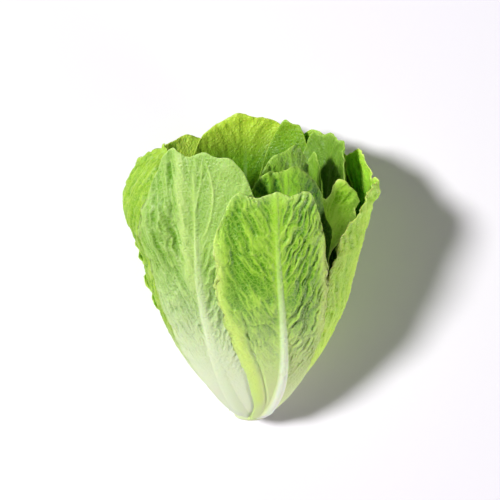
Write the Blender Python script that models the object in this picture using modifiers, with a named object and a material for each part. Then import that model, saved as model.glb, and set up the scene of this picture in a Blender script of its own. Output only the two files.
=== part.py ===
"""A romaine lettuce head, as cut, lying on its side. Blender 4.5, metres, +Z up.

Run it with blender --background --python part.py, or from Blender's text editor.

The head is worked out standing on its cut stem. There, h is the height above the cut, along the head's axis,
and an azimuth runs round that axis: 0 on the side that ends up on top, +90 on the side that ends up at +X.
Each leaf is a sheet r(azimuth, h). The leaves are laid one round another from the heart outwards, and each
is pushed out where it would meet the stack inside it, so no two cross. The head is then laid on its belly.
"""

import math
from typing import NamedTuple

import bmesh
import bpy
import numpy as np
from mathutils import Matrix

MM = 0.001

# Driving dimensions of the whole head.
SHELL_START = 16 * MM  # radius of the outermost shell at the cut
SHELL_SPREAD = 95 * MM  # how much wider that shell gets, far up the head
SHELL_RISE = 78 * MM  # height over which it does most of its widening
DEPTH_SHARE = 0.8  # the head's depth as a share of its width: its own weight flattens it
LIE_ANGLE = math.radians(20)  # the axis rises by this much from the surface, towards the tips
PRESS = 9 * MM  # how deep the surface presses into the belly leaves

PRESS_SOFT = 0.06  # how gently a pressed leaf leaves the surface, as a share of its radius
FLAT_SNAP = 0.6 * MM  # what lies closer to the surface than this lies flat on it

# Where the middle of the cut is, so that the head's box is centred over the origin.
CENTRE_X = 2.25 * MM
CENTRE_Y = -132.6 * MM

# The stem that carries the leaves.
CUT_RADIUS = 15.5 * MM
STEM_WAIST = 15 * MM
STEM_TOP_RADIUS = 5 * MM
STEM_HEIGHT = 58 * MM
STEM_SIDES = 32
STEM_RINGS = 10
CUT_BEVEL = 1 * MM

# Leaf sections.
BLADE = 0.9 * MM  # thickness of the thin green part
RIB_BASE = 3.2 * MM  # how much the midrib adds to the thickness, low on the leaf
RIB_TIP = 0.5 * MM  # the same at the tip
THICK_BASE = 0.6 * MM  # how much the fleshy base adds to the blade's thickness
THICK_UP_TO = 0.35  # how far up the leaf that reaches
ROOT_HEIGHT = 14 * MM  # a leaf leaves the stem thin and is at its full thickness this much higher
RIB_HALF_BASE = 8 * MM  # half width of the midrib at the foot of a leaf
RIB_HALF_TIP = 1.6 * MM
FULL_WIDTH = 60 * MM  # leaves narrower than this have a smaller midrib in proportion

# Leaf outlines and curves.
BASE_SHARE = 0.23  # half width at the foot of a leaf, as a share of its greatest half width
BROADEST = 0.66  # how far up a leaf is broadest
BROADENING = 1.25  # exponent of its widening up to there: above 1 keeps it narrow for longer
LATE_FROM, LATE_OVER = 0.72, 0.22  # where a margin that widens late does so, as shares of its length
ROW_CROWDING = 1.45  # how much closer together the rows are at the foot
LOBES = 4.5  # shallow lobes along each margin
LOBE_SHARE = 0.025  # how deep they are, as a share of the half width
TOP_WAVE = 1.8 * MM  # height of the waves along the top edge
TOP_WAVES = 3  # how many there are
TOP_ROUND = 0.24  # how far the top corners fall below the tip, as a share of the leaf's length
FLARE_FROM = 0.3  # where across the leaf a flared margin starts
WAVE_SHIFT = 0.9  # how much the two margins' waves are out of step, in radians

# Gaps between the leaves.
GAP_FOOT = 1.1 * MM  # least gap between neighbours, at the foot of the head
GAP_TOP = 1.7 * MM
GAP_HEIGHT = 70 * MM  # the gap has grown to GAP_TOP by this height
BEYOND = 4 * MM  # a leaf keeps its gap from the others this far past its margin

# Finishes.
HEART_GREEN = (0.56, 0.70, 0.20)
OUTER_GREEN = (0.24, 0.46, 0.07)
STEM_WHITE = (0.66, 0.70, 0.48)
LEAF_ROUGHNESS = 0.45
STEM_ROUGHNESS = 0.55

# How a leaf is lifted clear of those inside it, in cells of the grid below.
LIFT_AZIMUTHS = 3  # the lift is carried this far round
LIFT_HEIGHTS = 2  # and this far up and down
LIFT_BLUR = 5  # and then smoothed this many times
PRESS_AZIMUTHS = 4  # the same for the outside of the stack, before it is pressed
PRESS_BLUR = 8
STEEPEST = 2.5  # steepest slope that a leaf's thickness is worked out for

# The grid that the sheets are worked out on.
AZIMUTH_STEP = 2.0
HEIGHT_STEP = 1.5 * MM
GRID_HEIGHT = 300 * MM
AZIMUTHS = np.arange(0.0, 360.0, AZIMUTH_STEP)
HEIGHTS = np.arange(0.0, GRID_HEIGHT, HEIGHT_STEP)
AZIMUTH_GRID, HEIGHT_GRID = np.meshgrid(AZIMUTHS, HEIGHTS, indexing="ij")


class Leaf(NamedTuple):
    """One leaf. Lengths are in millimetres and angles in degrees."""

    name: str
    azimuth: float  # of the midrib, towards the tip
    foot: float  # height at which it leaves the stem
    tip: float  # height of its tip
    width: float  # greatest half width
    nest: float  # 0 lies along the stem, 1 is the outermost shell
    lean: float = 0.0  # how far the upper half leans outwards
    curl: float = 3.0  # how far the tip curls in again
    sway: float = 0.0  # how much larger the midrib's azimuth is at the foot
    square: float = 2.6  # how square the top is: the exponent of its curve
    flare: float = 0.0  # how far the margin at the higher azimuths flares out
    low_wide: float = 1.0  # width of the half at the lower azimuths, as a share of the half width
    high_wide: float = 1.0
    high_late: float = 0.0  # share of that half's width that it only gains near the tip
    narrow: float = 0.16  # how much narrower the leaf is again at the tip, as a share
    curl_from: float = 0.78  # where the tip starts to curl in
    lean_from: float = 0.5  # where it starts to lean out
    lean_over: float = 0.45  # share of the length over which it does
    wave: float = 1.5  # height of the waves along the margins
    waves: float = 3.0  # number of those waves
    phase: float = 0.0
    crest: tuple = ((0, 0),)  # (place across, rise) along the top edge
    columns: int = 7  # faces across each half of the leaf
    rows: int = 18  # faces along it


HEART_LEAVES = 6
GOLDEN_ANGLE = 137.5

FRAME_LEAVES = [
    Leaf("leaf_inner_rear_left", -150, 27, 192, 40, 0.42, waves=3, columns=5, rows=12),
    Leaf("leaf_inner_left", -60, 26, 190, 42, 0.48, waves=3, phase=1.0, columns=5, rows=12),
    Leaf("leaf_inner_crinkled", 42, 25, 257, 44, 0.42, wave=3, waves=5, columns=6, rows=13),
    Leaf("leaf_inner_rear_right", 108, 24, 240, 34, 0.54, wave=2.5, waves=4, columns=5, rows=12),
    Leaf("leaf_folded_tip", 122, 22, 252, 44, 0.78, square=6, wave=2.5, waves=4, phase=2, columns=6, rows=13),
    Leaf("leaf_right_margin", 44, 18, 217, 46, 0.68, flare=20, high_wide=1.02, high_late=0.55, square=6,
         crest=((-1, 0), (0.5, 0), (1, 38)), wave=1, waves=5, rows=20),
    Leaf("leaf_inner_front", 22, 20, 247, 45, 0.72, square=3.5, waves=2.5, columns=6, rows=13),
    Leaf("leaf_rear_fold", 157, 19, 257, 28, 0.84, columns=6, rows=13),
    Leaf("leaf_rear_right", 140, 16, 248, 50, 0.93, square=3.5, wave=2, columns=6, rows=14),
    Leaf("leaf_rear", -177, 14, 259, 61, 0.93, square=3.2, wave=2.5, phase=0.6, columns=6, rows=14),
    Leaf("leaf_rear_left", -143, 12, 242, 58, 0.95, square=3.5, phase=2.2, columns=6, rows=14),
    Leaf("leaf_left", -101, 9, 245, 80, 0.95, square=4, lean=13, lean_from=0.6, lean_over=0.26, curl=28,
         curl_from=0.74, narrow=0.0, waves=4, phase=1.2,
         crest=((-1, -18), (0, -14), (0.3, -1), (0.6, 18), (0.85, 36), (1, 44)), columns=9, rows=24),
    Leaf("leaf_right", 98, 8, 240, 84, 0.95, square=4, lean=6, lean_from=0.6, lean_over=0.35, curl=8, wave=2,
         waves=5, crest=((-1, 4), (-0.8, -8), (-0.5, -17), (-0.1, -16), (0.3, 0), (1, 0)), rows=20),
    Leaf("leaf_front_left", -28, 4, 261, 56, 0.96, sway=8, square=9, lean=-10, narrow=0.23, high_wide=1.08,
         waves=4, phase=0.4, crest=((-1, 6), (-0.7, 3), (-0.4, 0), (1, 0)), columns=11, rows=22),
    Leaf("leaf_belly_left", -156, 6, 222, 60, 0.98, wave=2, waves=6, flare=2, high_wide=1.5, columns=8,
         rows=22),
    Leaf("leaf_belly_right", 160, 5, 228, 60, 1.0, wave=1, waves=4, phase=2.0),
    Leaf("leaf_front", 11, 3, 234, 46, 1.0, sway=24, square=8, narrow=0.05, low_wide=1.12, high_wide=0.94,
         waves=4, phase=1.5),
]


def heart_leaves():
    """The small leaves of the heart, each a golden angle on from the last and longer than it."""
    leaves = []
    for i in range(HEART_LEAVES):
        share = i / (HEART_LEAVES - 1)
        leaves.append(
            Leaf(
                name=f"leaf_heart_{i + 1}",
                azimuth=60 + GOLDEN_ANGLE * i,
                foot=46 - 15 * share,
                tip=150 + 34 * share,
                width=20 + 18 * share,
                nest=0.10 + 0.26 * share,
                phase=1.3 * i,
                columns=4,
                rows=10,
            )
        )
    return leaves


def smooth_step(x):
    """0 below 0, 1 above 1, with level ends."""
    x = np.clip(x, 0.0, 1.0)
    return x * x * (3 - 2 * x)


def stem_radius(h):
    """Radius of the stem at height h: a short drum under a blunt cone."""
    share = np.clip(h / STEM_HEIGHT, 0.0, 1.0)
    cone = STEM_WAIST + (STEM_TOP_RADIUS - STEM_WAIST) * share**1.3
    return np.where(h < STEM_HEIGHT, cone, 0.0)


def shell_radius(leaf, h):
    """Radius of the shell that a leaf keeps to where nothing pushes it out."""
    foot = leaf.foot * MM
    start = stem_radius(np.asarray(foot))
    rise = 1 - np.exp(-np.maximum(h - foot, 0) / SHELL_RISE)
    return start + leaf.nest * SHELL_SPREAD * rise


def share_up(leaf, h):
    """How far up the leaf height h is: 0 at its foot, 1 at its tip."""
    return (h - leaf.foot * MM) / ((leaf.tip - leaf.foot) * MM)


def half_width(leaf, h):
    """Half width of a leaf, measured round its shell: narrow at the foot, broadest at BROADEST."""
    t = np.clip(share_up(leaf, h), 0.0, 1.0)
    growth = np.sin(np.minimum(t / BROADEST, 1.0) * math.pi / 2) ** BROADENING
    closing = 1 - leaf.narrow * np.clip((t - BROADEST) / (1 - BROADEST), 0.0, 1.0) ** 2
    lobes = 1 + LOBE_SHARE * growth * np.sin(2 * math.pi * LOBES * t + 2 * leaf.phase)
    return leaf.width * MM * (BASE_SHARE + (1 - BASE_SHARE) * growth) * closing * lobes


def midrib_azimuth(leaf, h):
    """Azimuth of the midrib at height h, in degrees."""
    return leaf.azimuth + leaf.sway * (1 - np.clip(share_up(leaf, h), 0.0, 1.0)) ** 2


def side_share(leaf, side, h):
    """Width of a leaf's half, as a share of the half width: side is below 0 for the one at lower azimuths."""
    late = leaf.high_late * (1 - smooth_step((share_up(leaf, h) - LATE_FROM) / LATE_OVER))
    return np.where(side < 0, leaf.low_wide, leaf.high_wide * (1 - late))


def across(leaf, azimuth, h):
    """How far across the blade a point is: 0 on the midrib, -1 and 1 on the margins."""
    turn = (azimuth - midrib_azimuth(leaf, h) + 180) % 360 - 180
    return np.radians(turn) * shell_radius(leaf, h) / (half_width(leaf, h) * side_share(leaf, turn, h))


def rib_size(leaf):
    """How big a leaf's midrib is, as a share of a full-sized one."""
    return min(1.0, leaf.width * MM / FULL_WIDTH)


def rib_half_width(leaf, h):
    """Half width of the midrib, tapering from the foot to the tip."""
    t = np.clip(share_up(leaf, h), 0.0, 1.0)
    return RIB_HALF_TIP + (RIB_HALF_BASE * rib_size(leaf) - RIB_HALF_TIP) * (1 - t) ** 1.5


def thickness(leaf, u, h):
    """Thickness of a leaf: the blade, and a midrib that is thickest at the foot."""
    t = np.clip(share_up(leaf, h), 0.0, 1.0)
    x = np.abs(u) * half_width(leaf, h) / rib_half_width(leaf, h)
    ridge = np.clip(1 - x * x, 0.0, 1.0)
    rib = RIB_BASE * rib_size(leaf) * (1 - t) + RIB_TIP
    base = THICK_BASE * np.clip(1 - t / THICK_UP_TO, 0.0, 1.0)
    root = smooth_step((h - leaf.foot * MM) / ROOT_HEIGHT)
    return BLADE + (base + rib * ridge) * root


def margin_ramp(u):
    """0 over the middle of the blade, rising to 1 at the margin."""
    return np.clip((u - FLARE_FROM) / (1 - FLARE_FROM), 0.0, 1.25) ** 2


def free_sheet(leaf, azimuth, h):
    """The radius that a leaf would take with nothing inside it."""
    t = np.clip(share_up(leaf, h), 0.0, 1.1)
    u = across(leaf, azimuth, h)
    edge = np.clip(np.abs(u), 0.0, 1.1) ** 2
    beat = np.sin(2 * math.pi * leaf.waves * t + leaf.phase + WAVE_SHIFT * np.sign(u))
    lean = leaf.lean * smooth_step((t - leaf.lean_from) / leaf.lean_over) * (1 - edge / 2)
    curl = leaf.curl * np.clip((t - leaf.curl_from) / (1 - leaf.curl_from), 0.0, 1.1) ** 2
    flare = leaf.flare * margin_ramp(u) * smooth_step(2 * t) * side_share(leaf, u, h)
    wave = leaf.wave * edge * smooth_step(t / BROADEST) * beat
    return shell_radius(leaf, h) + (lean - curl + flare + wave) * MM


def surface_depth():
    """How far the surface lies below the cut's centre: the outermost shell's lowest point, less PRESS."""
    shell = SHELL_START + SHELL_SPREAD * (1 - np.exp(-HEIGHTS / SHELL_RISE))
    below = shell * DEPTH_SHARE * math.cos(LIE_ANGLE) - HEIGHTS * math.sin(LIE_ANGLE)
    return below.max() - PRESS


def surface_radius(azimuth, h):
    """Radius at which the surface that the head lies on cuts a ray from the axis, or a large radius."""
    down = -np.cos(np.radians(azimuth)) * DEPTH_SHARE * math.cos(LIE_ANGLE)
    reach = surface_depth() + h * math.sin(LIE_ANGLE)
    return np.where(down > 0.2, reach / np.maximum(down, 0.2), 1.0)


def spread_max(field, azimuth_cells, height_cells):
    """The largest value within so many cells of each cell. Azimuths wrap round."""
    for _ in range(azimuth_cells):
        field = np.maximum(field, np.maximum(np.roll(field, 1, 0), np.roll(field, -1, 0)))
    for _ in range(height_cells):
        padded = np.pad(field, ((0, 0), (1, 1)), mode="edge")
        field = np.maximum(field, np.maximum(padded[:, :-2], padded[:, 2:]))
    return field


def blurred(field, rounds):
    """A field smoothed by so many rounds of a three-cell average, both ways. Azimuths wrap round."""
    for _ in range(rounds):
        field = (np.roll(field, 1, 0) + 2 * field + np.roll(field, -1, 0)) / 4
        padded = np.pad(field, ((0, 0), (1, 1)), mode="edge")
        field = (padded[:, :-2] + 2 * field + padded[:, 2:]) / 4
    return field


def radial_thickness(leaf, radius):
    """A leaf's thickness measured along the radius, on the grid, where the sheet may slope."""
    u = across(leaf, AZIMUTH_GRID, HEIGHT_GRID)
    up = np.gradient(radius, HEIGHT_STEP, axis=1)
    round_it = (np.roll(radius, -1, 0) - np.roll(radius, 1, 0)) / (2 * math.radians(AZIMUTH_STEP))
    slope = np.sqrt(1 + up**2 + (round_it / np.maximum(radius, STEM_TOP_RADIUS)) ** 2)
    return thickness(leaf, u, HEIGHT_GRID) * np.minimum(slope, STEEPEST)


def covered(leaf):
    """Where on the grid a leaf is, with a little round it."""
    u = across(leaf, AZIMUTH_GRID, HEIGHT_GRID)
    beyond = 1 + BEYOND / half_width(leaf, HEIGHT_GRID)
    above = HEIGHT_GRID > leaf.foot * MM - 2 * HEIGHT_STEP
    return (np.abs(u) < beyond) & above & (HEIGHT_GRID < leaf.tip * MM + 2 * HEIGHT_STEP)


def lay_leaves(leaves):
    """The sheet of each leaf on the grid, from the heart outwards, and the outside of the whole stack.

    A leaf keeps to its free sheet. Where that is less than the gap from the stack so far, it is lifted to
    clear it, and the lift is spread and smoothed.
    """
    gap = GAP_FOOT + (GAP_TOP - GAP_FOOT) * np.clip(HEIGHT_GRID / GAP_HEIGHT, 0.0, 1.0)
    stack = np.repeat(stem_radius(HEIGHTS)[None, :], len(AZIMUTHS), axis=0)
    sheets = {}
    for leaf in leaves:
        free = free_sheet(leaf, AZIMUTH_GRID, HEIGHT_GRID)
        lift = np.where(covered(leaf), np.maximum(stack + gap - free, 0.0), 0.0)
        lift = blurred(spread_max(lift, LIFT_AZIMUTHS, LIFT_HEIGHTS), LIFT_BLUR)
        foot_share = smooth_step((HEIGHT_GRID - leaf.foot * MM) / (3 * HEIGHT_STEP))
        lift = np.maximum(lift * foot_share, np.where(covered(leaf), stack + gap - free, 0.0))
        sheet = free + lift
        sheets[leaf.name] = sheet
        outer = sheet + radial_thickness(leaf, sheet)
        stack = np.where(covered(leaf), np.maximum(stack, outer), stack)
    return sheets, stack


def press_share(stack):
    """How much each ray from the axis is shortened where the head is pressed on the surface it lies on.

    The share is 1 well clear of the surface. Every leaf on a ray takes the same share, so none can cross.
    """
    reach = surface_radius(AZIMUTH_GRID, HEIGHT_GRID) - FLAT_SNAP / 2
    outside = blurred(spread_max(stack, PRESS_AZIMUTHS, 0), PRESS_BLUR)
    excess = 1 - reach / np.maximum(outside, STEM_TOP_RADIUS)
    soft = np.clip(excess + PRESS_SOFT, 0.0, 2 * PRESS_SOFT) ** 2 / (4 * PRESS_SOFT)
    return 1 - np.maximum(np.where(excess > PRESS_SOFT, excess, soft), 0.0)


def sample(sheet, azimuth, h):
    """A sheet's radius between the grid's points, linear both ways."""
    a = (azimuth / AZIMUTH_STEP) % len(AZIMUTHS)
    b = np.clip(h / HEIGHT_STEP, 0.0, len(HEIGHTS) - 1.001)
    a0, b0 = np.floor(a).astype(int), np.floor(b).astype(int)
    fa, fb = a - a0, b - b0
    a0 %= len(AZIMUTHS)
    a1 = (a0 + 1) % len(AZIMUTHS)
    low = sheet[a0, b0] * (1 - fa) + sheet[a1, b0] * fa
    high = sheet[a0, b0 + 1] * (1 - fa) + sheet[a1, b0 + 1] * fa
    return low * (1 - fb) + high * fb


def lying_matrix():
    """Takes the standing head to the row frame: flattened, on its belly, and centred over the origin."""
    flatten = Matrix.Diagonal((1.0, DEPTH_SHARE, 1.0, 1.0))
    turn = Matrix.Rotation(-(math.pi / 2 - LIE_ANGLE), 4, "X")
    return Matrix.Translation((CENTRE_X, CENTRE_Y, surface_depth())) @ turn @ flatten


def columns_across(leaf, rib):
    """Where a leaf's columns lie across it: two faces on each side carry the midrib, the rest the blade.

    The argument rib is the midrib's half width at each row, as a share of the leaf's.
    """
    steps = np.arange(1, leaf.columns + 1)
    on_rib = rib[:, None] * np.minimum(steps, 2) / 2
    on_blade = (1 - rib[:, None]) * np.maximum(steps - 2, 0) / (leaf.columns - 2)
    right = on_rib + on_blade
    middle = np.zeros((len(rib), 1))
    return np.concatenate([-right[:, ::-1], middle, right], axis=1)


def leaf_points(leaf, sheet, press):
    """The vertices of a leaf's inner face, row by row, and its thickness at each of them."""
    foot, tip = leaf.foot * MM, leaf.tip * MM
    rows = np.linspace(0, 1, leaf.rows + 1) ** ROW_CROWDING
    at_row = foot + rows * (tip - foot)
    u = columns_across(leaf, rib_half_width(leaf, at_row) / half_width(leaf, at_row))
    top = tip - (tip - foot) * TOP_ROUND * np.abs(u) ** leaf.square
    top += TOP_WAVE * (np.sin(TOP_WAVES * math.pi * u + leaf.phase) - 1)
    top += np.interp(u, *zip(*leaf.crest)) * MM
    h = foot + rows[:, None] * (top - foot)
    width = half_width(leaf, h) * side_share(leaf, u, h)
    angle = midrib_azimuth(leaf, h) + np.degrees(u * width / shell_radius(leaf, h))
    share = sample(press, angle, h)
    radius = sample(sheet, angle, h) * share
    turn = np.radians(angle)
    points = np.stack([radius * np.sin(turn), -radius * np.cos(turn), h], axis=-1)
    return points, thickness(leaf, u, h) * share


def make_material(name, colour, roughness):
    """A plain material of one colour."""
    material = bpy.data.materials.new(name)
    material.use_nodes = True
    shader = material.node_tree.nodes["Principled BSDF"]
    shader.inputs["Base Color"].default_value = (*colour, 1.0)
    shader.inputs["Roughness"].default_value = roughness
    shader.inputs["Metallic"].default_value = 0.0
    return material


def leaf_colour(leaf):
    """Yellow-green at the heart, deeper green in the outer leaves."""
    share = float(smooth_step(leaf.nest))
    return [inner + (outer - inner) * share for inner, outer in zip(HEART_GREEN, OUTER_GREEN)]


def add_object(name, mesh, material, collection):
    """An object of that name in the collection."""
    mesh.materials.clear()
    mesh.materials.append(material)
    made = bpy.data.objects.new(name, mesh)
    collection.objects.link(made)
    return made


def make_leaf(leaf, sheet, press, collection):
    """A leaf: its inner face as a grid, given its thickness outwards, then laid down with the head."""
    points, thick = leaf_points(leaf, sheet, press)
    rows, columns = points.shape[:2]
    form = bmesh.new()
    bmesh.ops.create_grid(form, x_segments=columns - 1, y_segments=rows - 1, size=1)
    form.verts.ensure_lookup_table()
    for vertex, place in zip(form.verts, points.reshape(-1, 3)):
        vertex.co = place
    bmesh.ops.triangulate(form, faces=form.faces[:], quad_method="ALTERNATE")
    mesh = bpy.data.meshes.new(leaf.name)
    form.to_mesh(mesh)
    form.free()
    material = make_material(f"{leaf.name} blade", leaf_colour(leaf), LEAF_ROUGHNESS)
    made = add_object(leaf.name, mesh, material, collection)
    group = made.vertex_groups.new(name="thickness")
    most = float(thick.max())
    for i, value in enumerate(thick.reshape(-1)):
        group.add([i], float(value) / most, "REPLACE")
    solidify = made.modifiers.new("thickness", "SOLIDIFY")
    solidify.thickness = most
    solidify.offset = 1.0
    solidify.vertex_group = "thickness"
    solidify.thickness_vertex_group = 0.0
    bake(made)
    lay_down(made)


def bake(made):
    """Applies an object's modifiers to its mesh."""
    bpy.context.view_layer.update()
    graph = bpy.context.evaluated_depsgraph_get()
    made.data = bpy.data.meshes.new_from_object(made.evaluated_get(graph))
    made.modifiers.clear()


def lay_down(made):
    """Lays an object's mesh in the row frame, flat where it meets the surface."""
    made.data.transform(lying_matrix())
    for vertex in made.data.vertices:
        if vertex.co.z < FLAT_SNAP:
            vertex.co.z = 0.0
    made.data.shade_smooth()


def make_stem(press, collection):
    """The stem: a turned solid, cut flat at the bottom, pressed with the leaves that stand round it."""
    profile = [(0.0, 0.0), (CUT_RADIUS - CUT_BEVEL, 0.0), (CUT_RADIUS, CUT_BEVEL)]
    for h in np.linspace(3 * CUT_BEVEL, STEM_HEIGHT - 2 * CUT_BEVEL, STEM_RINGS):
        profile.append((float(stem_radius(h)), float(h)))
    profile.append((0.0, STEM_HEIGHT))
    mesh = bpy.data.meshes.new("stem")
    edges = [(i, i + 1) for i in range(len(profile) - 1)]
    mesh.from_pydata([(r, 0.0, h) for r, h in reversed(profile)], edges, [])
    made = add_object("stem", mesh, make_material("cut stem", STEM_WHITE, STEM_ROUGHNESS), collection)
    turned = made.modifiers.new("turned", "SCREW")
    turned.steps = STEM_SIDES
    turned.render_steps = STEM_SIDES
    turned.use_merge_vertices = True
    turned.merge_threshold = 0.05 * MM
    bake(made)
    for vertex in made.data.vertices:
        azimuth = math.degrees(math.atan2(vertex.co.x, -vertex.co.y))
        vertex.co.xy *= float(sample(press, np.asarray(azimuth), np.asarray(vertex.co.z)))
    lay_down(made)
    made.data.set_sharp_from_angle(angle=math.radians(40))


def main():
    """Clears the scene and builds the head."""
    for old in list(bpy.data.objects):
        bpy.data.objects.remove(old)
    collection = bpy.data.collections.new("romaine_lettuce_head")
    bpy.context.scene.collection.children.link(collection)
    leaves = heart_leaves() + FRAME_LEAVES
    sheets, stack = lay_leaves(leaves)
    press = press_share(stack)
    make_stem(press, collection)
    for leaf in leaves:
        make_leaf(leaf, sheets[leaf.name], press, collection)


main()
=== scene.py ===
"""A romaine lettuce head lying on its side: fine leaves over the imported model's solids.

The head is worked out standing on its cut stem. There, h is the height above the cut, along the head's axis,
and an azimuth runs round that axis: 0 on the side that ends up on top, +90 on the side that ends up at +X.
Lengths are in metres unless a field says millimetres.
"""

import logging
import math
from dataclasses import dataclass, field, replace
from enum import Enum

import bmesh
import bpy
import numpy as np
from numpy.typing import NDArray
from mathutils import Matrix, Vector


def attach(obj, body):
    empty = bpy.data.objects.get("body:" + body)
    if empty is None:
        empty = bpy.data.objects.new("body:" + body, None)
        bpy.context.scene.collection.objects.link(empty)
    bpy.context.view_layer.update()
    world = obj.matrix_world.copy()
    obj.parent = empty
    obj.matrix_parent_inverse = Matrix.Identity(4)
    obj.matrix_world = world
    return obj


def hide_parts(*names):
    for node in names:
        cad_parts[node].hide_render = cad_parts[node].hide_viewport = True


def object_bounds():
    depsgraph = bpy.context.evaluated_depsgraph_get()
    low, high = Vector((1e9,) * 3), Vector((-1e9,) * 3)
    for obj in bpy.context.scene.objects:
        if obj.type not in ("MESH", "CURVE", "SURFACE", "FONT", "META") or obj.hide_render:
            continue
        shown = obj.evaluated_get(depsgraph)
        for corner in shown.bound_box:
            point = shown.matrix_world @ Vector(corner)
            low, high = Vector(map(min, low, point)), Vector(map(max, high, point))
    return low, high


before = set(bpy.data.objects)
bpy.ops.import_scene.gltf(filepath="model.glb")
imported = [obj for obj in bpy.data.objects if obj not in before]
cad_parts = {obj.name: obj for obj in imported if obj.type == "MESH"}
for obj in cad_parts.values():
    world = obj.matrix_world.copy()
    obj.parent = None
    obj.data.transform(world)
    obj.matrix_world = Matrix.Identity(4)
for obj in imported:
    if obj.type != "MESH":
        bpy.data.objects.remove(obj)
CAD_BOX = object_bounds()
LOG = logging.getLogger("romaine")
MM = 0.001
UV_MAP = "leaf"
FIRST_SEED = 100  # of the first leaf's own grain

Floats = NDArray[np.float64]
Colour = tuple[float, float, float]
Socket = bpy.types.NodeSocket
Outputs = bpy.types.NodeOutputs
Value = Socket | float | tuple[float, ...]  # what an input takes: a link or a value


class Slot(Enum):
    """The material slots, by name."""

    STEM = "cut_stem"
    HEART = "heart_leaf"
    INNER = "inner_leaf"
    OUTER = "outer_leaf"


def smooth_step(x: Floats) -> Floats:
    """0 below 0, 1 above 1, with level ends."""
    x = np.clip(x, 0.0, 1.0)
    return x * x * (3 - 2 * x)


def linear(colour: Colour) -> tuple[float, float, float, float]:
    """A display colour of 0 to 255 as a linear colour with alpha 1.

    Args:
        colour: red, green and blue, 0 to 255.

    Returns:
        The linear colour, each part ((c / 255 + 0.055) / 1.055) to the power 2.4.
    """
    red, green, blue = (((part / 255 + 0.055) / 1.055) ** 2.4 for part in colour)
    return red, green, blue, 1.0


class Grain:
    """Repeatable noise over two coordinates, from one seed."""

    SIZE = 64

    def __init__(self, seed: int) -> None:
        """Fills the table.

        Args:
            seed: picks the pattern.
        """
        self.table = np.random.default_rng(seed).random((self.SIZE, self.SIZE))

    def smooth(self, x: Floats, y: Floats) -> Floats:
        """Value noise: random numbers at whole coordinates, eased between them.

        Args:
            x: first coordinate, one feature per unit.
            y: second coordinate.

        Returns:
            Values from -1 to 1.
        """
        x0, y0 = np.floor(x).astype(int), np.floor(y).astype(int)
        fx, fy = smooth_step(x - x0), smooth_step(y - y0)
        corner = [self.table[(x0 + i) % self.SIZE, (y0 + j) % self.SIZE] for i in (0, 1) for j in (0, 1)]
        low = corner[0] * (1 - fy) + corner[1] * fy
        high = corner[2] * (1 - fy) + corner[3] * fy
        return 2 * (low * (1 - fx) + high * fx) - 1

    def rough(self, x: Floats, y: Floats) -> Floats:
        """Three octaves of the smooth noise, each half as high and twice as fine."""
        return (self.smooth(x, y) + self.smooth(2 * x, 2 * y) / 2 + self.smooth(4 * x, 4 * y) / 4) / 1.75


@dataclass(frozen=True)
class Pleat:
    """A ridge or a groove that runs up a leaf, straight or bowed.

    Its height is a bell curve across, and eases out at both ends.
    """

    low: float  # share of the leaf's length where it starts
    low_u: float  # place across the leaf there
    high: float  # share of the length where it ends
    high_u: float
    height: float  # millimetres: a ridge stands outwards, a groove is negative
    half: float  # half width in millimetres
    pale: float = 0.0  # how much it whitens and smooths the leaf; negative, how much it darkens it as painted shade along a groove
    bend: float = 0.0  # how far its middle bows to higher places across

    def profile(self, u: Floats, t: Floats, width: Floats) -> Floats:
        """Its bell curve, 0 to 1.

        Args:
            u: places across the leaf.
            t: shares of the leaf's length.
            width: the leaf's half width in millimetres.

        Returns:
            exp(-(distance / half width) squared), eased over a fifth of the pleat at each end.
        """
        share = (t - self.low) / (self.high - self.low)
        middle = self.low_u + (self.high_u - self.low_u) * share + self.bend * 4 * share * (1 - share)
        ends = smooth_step(share / 0.2) * smooth_step((1 - share) / 0.2)
        return np.exp(-(((u - middle) * width / self.half) ** 2)) * ends


@dataclass(frozen=True)
class Finish:
    """A leaf's colours, as display colours, outer face first."""

    # Hollow colours are darker than the blade: partly the leaf's own deeper green, partly painted shade in
    # the hollows.
    hollow: Colour = (104, 150, 36)
    blade: Colour = (140, 182, 66)
    vein: Colour = (176, 208, 116)
    inner_hollow: Colour = (60, 114, 12)
    inner_blade: Colour = (112, 164, 30)
    inner_vein: Colour = (150, 190, 78)
    rib: Colour = (226, 238, 200)
    base: Colour = (220, 231, 191)
    rim: Colour = (186, 214, 104)
    pale: Colour = (208, 230, 146)  # where a pleat whitens the leaf
    inner_tip: Colour = (176, 206, 62)  # of the inner face at the tip
    tip_from: float = 0.74  # share of the length where that begins
    base_from: float = 0.10  # share of the length up to which the leaf is all base colour
    base_to: float = 0.42  # and where none of it is left
    rib_to: float = 0.95  # where the midrib has taken the blade's colour
    rough: float = 0.48
    soft: float = 0.55  # how much light spreads and passes through the flesh
    painted_glow: float = 0.0  # strength of the painted glow that the tip emits in place of light it does not get


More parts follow.
